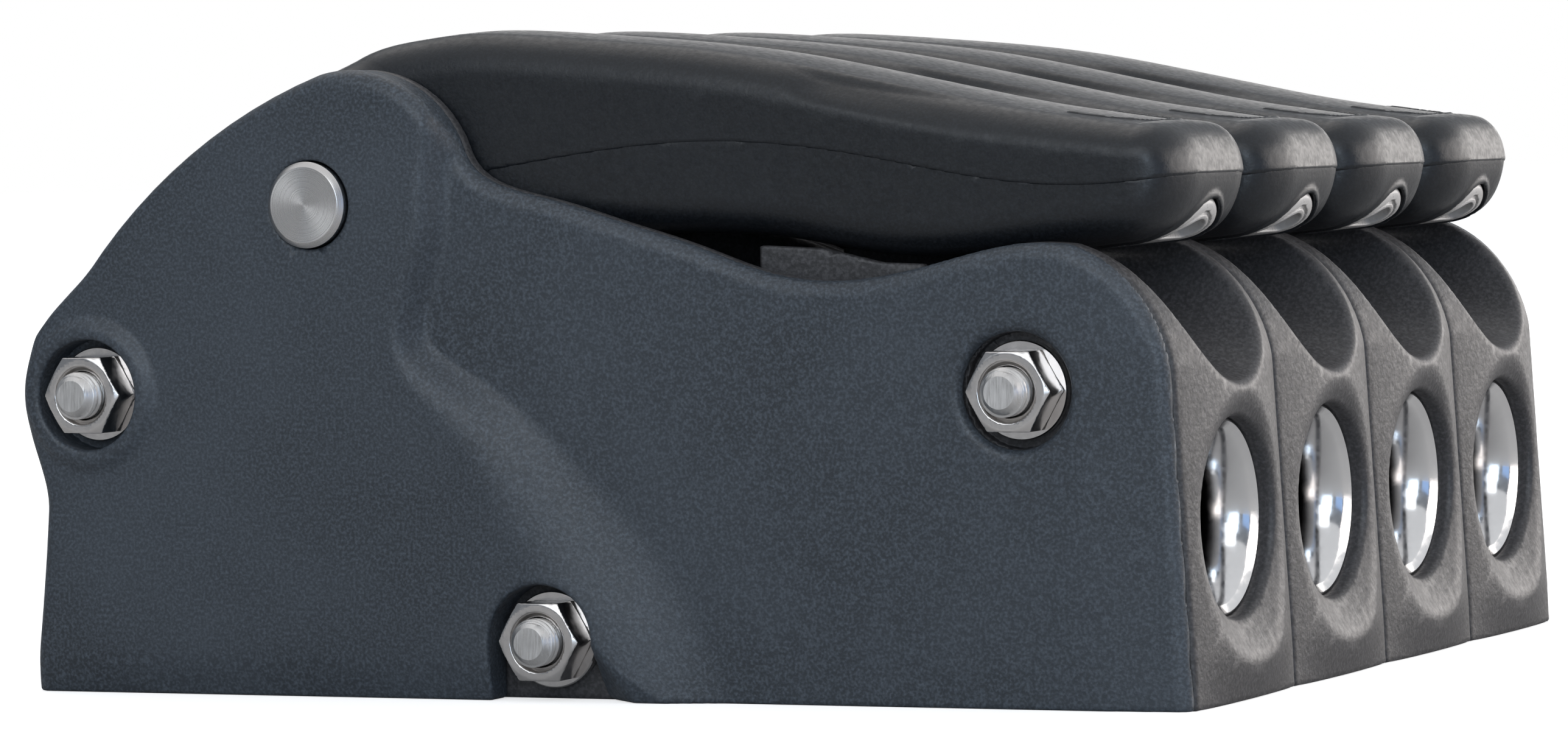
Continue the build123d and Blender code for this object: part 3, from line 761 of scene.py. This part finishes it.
def build_levers():
    """Four levers, each an upper moulding, a lower one and a tip plug."""
    upper = polygonize("lever_top", lever_upper_field, (PIN_X - HUB_R, -LEVER_HALF, 36),
                       (TIP_X, LEVER_HALF, 70), 0.34 * CELL, merge=0.002)
    lower = polygonize("lever_under", lever_lower_field, (-24, -LEVER_HALF, 43),
                       (TIP_X, LEVER_HALF, 58), 0.34 * CELL, merge=0.002)
    plug = polygonize("tip_plug", plug_field, (51, -5.8, 43), (64, 5.8, 52), 0.2 * CELL)
    for number in range(1, MODULES + 1):
        y, body = MODULE_Y[number - 1], f"lever_{number}"
        finish_piece(new_piece(f"lever_{number}_top", upper, y), LEVER_PLASTIC, body, "lever_plastic",
                     f"lever_upper_{number}")
        finish_piece(new_piece(f"lever_{number}_under", lower, y), LEVER_PLASTIC, body, "lever_plastic",
                     f"lever_lower_{number}")
        finish_piece(new_piece(f"lever_{number}_plug", plug, y), PLUG_PLASTIC, body, "plug_plastic",
                     f"lever_tip_plug_{number}")


# ---------------------------------------------------------------- bushes, pin, rods, nuts and washers
def build_bushes():
    """Polished bell-mouthed bushes, front and rear. The bell is a quarter of an ellipse."""
    turns = np.radians(np.linspace(78, 0, 28))
    bell = [(BELL_X + BELL_LENGTH * math.sin(turn), LIP_AT[1] - BELL_RISE * math.cos(turn)) for turn in turns]
    tail = smooth_curve([(48.5, 7.0), (47.0, 7.15), (46.0, 7.5), (45.5, 8.0)], 6)
    lip = arc(LIP_AT, LIP_R, 90, 0, 8)
    profile = np.array([*lip, *bell, *tail, (45.5, 8.5), (52.4, 8.5), (52.4, 10.0)])
    for end, name in ((1, "front"), (-1, "rear")):
        for number in range(1, MODULES + 1):
            mesh = lathe(f"bush_{name}_{number}", profile[:, 0], profile[:, 1], (0, 0, LINE_Z),
                         (end, 0, 0), segments=112)
            piece = new_piece(f"bush_{name}_{number}", mesh, MODULE_Y[number - 1])
            finish_piece(piece, BUSH_STEEL, "frame", "bush_steel", f"{name}_bush_{number}")


def build_pin():
    """Pivot pin through all four levers, with turned, chamfered ends."""
    reach = high_corner("pivot_pin").y
    radius = (high_corner("pivot_pin").x - low_corner("pivot_pin").x) / 2
    along = [-reach, -reach, -reach + 0.12, -reach + 0.5, reach - 0.5, reach - 0.12, reach, reach]
    sizes = [0.05, radius - 0.55, radius - 0.38, radius, radius, radius - 0.38, radius - 0.55, 0.05]
    mesh = lathe("main_pin", along, sizes, (PIN_X, 0, PIN_Z), (0, 1, 0), segments=128, closed=False)
    finish_piece(new_piece("main_pin", mesh), PIN_STEEL, "frame", "pin_steel", "pivot_pin")


def build_rod(name):
    """Tie rod: plain shank, rolled M5 thread at both ends, and domed ends sawn flat."""
    node = f"tie_rod_{name}"
    reach = high_corner(node).y
    radius = (high_corner(node).z - low_corner(node).z) / 2
    end = [(0.0, 0.05), (0.0, 1.65), (0.36, 2.06), (0.7, 2.3)]
    thread = [(place, radius) for place in np.arange(0.78, THREAD_LENGTH, 0.08)]
    half = np.array(end + thread + [(THREAD_LENGTH + 0.5, radius)])
    from_end = half[:, :1]
    segments = 40
    turn = np.arange(segments) / segments
    wave = 0.5 + 0.5 * np.cos(2 * math.pi * (from_end / THREAD_PITCH - turn))
    cut = THREAD_DEPTH * wave * ease(from_end, 0.3, 0.9) * (from_end <= THREAD_LENGTH)
    sizes = half[:, 1:] - cut
    along = np.concatenate([-reach + half[:, 0], reach - half[::-1, 0]])
    sizes = np.concatenate([sizes, sizes[::-1, ::-1]])
    mesh = lathe(f"rod_{name}", along, sizes, (RODS[name].x, 0, RODS[name].z), (0, 1, 0), segments,
                 closed=False)
    finish_piece(new_piece(f"rod_{name}", mesh), ROD_STEEL, "frame", "fastener_steel", node)


def nut_field(x, y, z):
    """M5 nut about the Y axis, its seat at y 0, with flats above and below and both faces chamfered."""
    flats = -NUT_FLATS
    for angle in (90, 30, 150):
        turn = math.radians(angle)
        flats = np.maximum(flats, np.abs(x * math.cos(turn) + z * math.sin(turn)) - NUT_FLATS / 2)
    from_axis = np.hypot(x, z)
    past_face = np.abs(y - NUT_T / 2) - NUT_T / 2
    chamfer = math.cos(NUT_CHAMFER) * past_face + math.sin(NUT_CHAMFER) * (from_axis - NUT_CHAMFER_R)
    body = both(flats, past_face, 0.08)
    body = both(body, chamfer, 0.06)
    sink = (from_axis - NUT_SINK_R - past_face) / math.sqrt(2)
    return without(body, either(from_axis - NUT_HOLE_R, sink), 0.05)


def build_fasteners():
    """Nuts and washers at both ends of each rod; each kind is one piece, as its CAD node is."""
    nut = polygonize("nut", nut_field, (-4.7, 0, -4.1), (4.7, NUT_T, 4.1), 0.14 * CELL)
    washer_along = [0, 0, WASHER_EDGE, WASHER_T - WASHER_EDGE, WASHER_T, WASHER_T]
    face_r = WASHER_R - WASHER_EDGE
    washer_sizes = [WASHER_HOLE_R, face_r, WASHER_R, WASHER_R, face_r, WASHER_HOLE_R]
    washer = lathe("washer", washer_along, washer_sizes, (0, 0, 0), (0, 1, 0), segments=72)
    nuts, washers = [], []
    for name, rod in RODS.items():
        reach = high_corner(f"tie_rod_{name}").y
        for sign in (-1, 1):
            seat = reach - THREAD_SHOWING - NUT_T - WASHER_T
            turn = Matrix.Rotation(0 if sign > 0 else math.pi, 4, "Z")
            for kind, mesh, height in ((nuts, nut, seat + WASHER_T), (washers, washer, seat)):
                piece = bpy.data.objects.new(mesh.name, mesh.copy())
                bpy.context.scene.collection.objects.link(piece)
                piece.matrix_world = Matrix.Translation(Vector((rod.x, sign * height, rod.z)) * MM) @ turn
                kind.append(piece)
    bpy.context.view_layer.update()
    for kind, name, node in ((nuts, "nut_set", "tie_nuts"), (washers, "washer_set", "tie_washers")):
        for piece in kind:
            piece.data.transform(piece.matrix_world)
            piece.matrix_world = Matrix.Identity(4)
        with bpy.context.temp_override(active_object=kind[0], selected_editable_objects=kind):
            bpy.ops.object.join()
        kind[0].name = name
        finish_piece(kind[0], FASTENER_STEEL, "frame", "fastener_steel", node)


build_plate("left", -1)
build_plate("right", 1)
build_shells()
build_levers()
build_bushes()
build_pin()
for rod_name in RODS:
    build_rod(rod_name)
build_fasteners()

# CAD nodes whose shape is right keep it and get a worked finish
for number in range(1, MODULES + 1):
    for node, made in ((f"cam_{number}", CAM_STEEL), (f"cam_spring_{number}", SPRING_STEEL),
                       (f"base_jaw_{number}", JAW_METAL)):
        for place in frame["nodes"][node].material_slots:
            place.material = made

# ---------------------------------------------------------------- floor, lights and camera
def add_panel(name, at, look, size, power, colour):
    """Soft light panel facing a point."""
    data = bpy.data.lights.new(name, "AREA")
    data.shape = "RECTANGLE"
    data.size, data.size_y = size
    data.energy = power
    data.color = colour
    lamp = bpy.data.objects.new(name, data)
    lamp.location = at
    lamp.rotation_euler = (Vector(look) - Vector(at)).to_track_quat("-Z", "Y").to_euler()
    bpy.context.scene.collection.objects.link(lamp)


def build_floor():
    """Plain pale floor. It looks white, and throws back less light than it shows, as grey card would."""
    half = 6.0
    corners = [(-half, -half, 0), (half, -half, 0), (half, half, 0), (-half, half, 0)]
    mesh = bpy.data.meshes.new("floor")
    mesh.from_pydata(corners, [], [(0, 1, 2, 3)])
    card, shader, place = material("floor_card", (0.40, 0.40, 0.40), 0.9)
    tree = card.node_tree
    paper = add_noise(card, place, 0.02, 3)
    shown = tree.nodes.new("ShaderNodeBsdfDiffuse")
    tree.links.new(add_mix(card, paper, (0.78, 0.78, 0.79), (0.80, 0.80, 0.80)), shown.inputs["Color"])
    glow = tree.nodes.new("ShaderNodeEmission")
    glow.inputs["Strength"].default_value = 0.6
    total = tree.nodes.new("ShaderNodeAddShader")
    tree.links.new(shown.outputs[0], total.inputs[0])
    tree.links.new(glow.outputs[0], total.inputs[1])
    rays = tree.nodes.new("ShaderNodeLightPath")
    choice = tree.nodes.new("ShaderNodeMixShader")
    tree.links.new(rays.outputs["Is Camera Ray"], choice.inputs[0])
    tree.links.new(shader.outputs[0], choice.inputs[1])
    tree.links.new(total.outputs[0], choice.inputs[2])
    tree.links.new(choice.outputs[0], tree.nodes["Material Output"].inputs["Surface"])
    mesh.materials.append(card)
    floor = bpy.data.objects.new("floor", mesh)
    bpy.context.scene.collection.objects.link(floor)


def build_sky():
    """Broad soft light from above, and a world that looks white but gives a dim cool light."""
    sky = bpy.data.lights.new("sky_soft", "SUN")
    sky.energy = 1.1
    sky.angle = math.radians(120)
    lamp = bpy.data.objects.new("sky_soft", sky)
    lamp.rotation_euler = (math.radians(-8), math.radians(6), 0)
    bpy.context.scene.collection.objects.link(lamp)
    world = bpy.data.worlds.new("studio")
    world.use_nodes = True
    bpy.context.scene.world = world
    nodes = world.node_tree.nodes
    links = world.node_tree.links
    backdrop = nodes["Background"]
    backdrop.inputs["Color"].default_value = (0.62, 0.68, 0.76, 1)
    backdrop.inputs["Strength"].default_value = 0.30
    seen = nodes.new("ShaderNodeBackground")
    seen.inputs["Color"].default_value = (1, 1, 1, 1)
    rays = nodes.new("ShaderNodeLightPath")
    choice = nodes.new("ShaderNodeMixShader")
    links.new(rays.outputs["Is Camera Ray"], choice.inputs[0])
    links.new(backdrop.outputs[0], choice.inputs[1])
    links.new(seen.outputs[0], choice.inputs[2])
    links.new(choice.outputs[0], nodes["World Output"].inputs["Surface"])


CAMERA_AT = Vector((289.4, -622.9, 58.1)) * MM
CAMERA_BACK = Vector((0.4272, -0.9033, 0.0391)).normalized()
CAMERA_ROLL = math.radians(-1.30)
CAMERA_LENS = 142.7                     # for a sensor 36 mm wide


def build_camera():
    """Long lens from the front left, level with the levers' tops, everything in focus."""
    data = bpy.data.cameras.new("camera")
    data.sensor_width = 36
    data.lens = CAMERA_LENS
    data.clip_start = 0.01
    data.clip_end = 50
    camera = bpy.data.objects.new("camera", data)
    level = Vector((0, 0, 1)).cross(CAMERA_BACK).normalized()
    upright = CAMERA_BACK.cross(level)
    right = level * math.cos(CAMERA_ROLL) + upright * math.sin(CAMERA_ROLL)
    turned = Matrix((right, CAMERA_BACK.cross(right), CAMERA_BACK)).transposed()
    camera.matrix_world = Matrix.Translation(CAMERA_AT) @ turned.to_4x4()
    bpy.context.scene.collection.objects.link(camera)
    bpy.context.scene.camera = camera
    bpy.context.scene.view_settings.view_transform = "Standard"


build_floor()
add_panel("panel_above", (-0.35, 0.35, 0.95), (0, 0, 0.03), (0.8, 0.8), 1.3, (1.0, 0.92, 0.85))
add_panel("panel_front", (1.15, 0.45, 0.32), (0.05, 0, 0.04), (1.4, 0.6), 9.0, (1.0, 0.94, 0.90))
add_panel("panel_behind", (0.55, 1.10, 0.26), (0.05, 0, 0.04), (0.8, 0.5), 4.5, (1.0, 0.95, 0.91))
add_panel("panel_window", (-0.55, 1.25, 0.18), (0, 0, 0.05), (1.2, 0.36), 3.4, (1.0, 0.97, 0.94))
add_panel("panel_side", (0.10, -1.35, 0.75), (0, 0, 0.03), (1.7, 0.9), 8.0, (0.90, 0.95, 1.0))
add_panel("panel_corner", (0.65, -1.15, 0.12), (0, 0, 0.03), (0.36, 0.8), 3.2, (0.66, 0.82, 1.0))
add_panel("panel_blue", (1.05, -0.55, 0.10), (0.06, 0, 0.02), (0.60, 0.30), 0.35, (0.25, 0.50, 1.0))
build_sky()
build_camera()
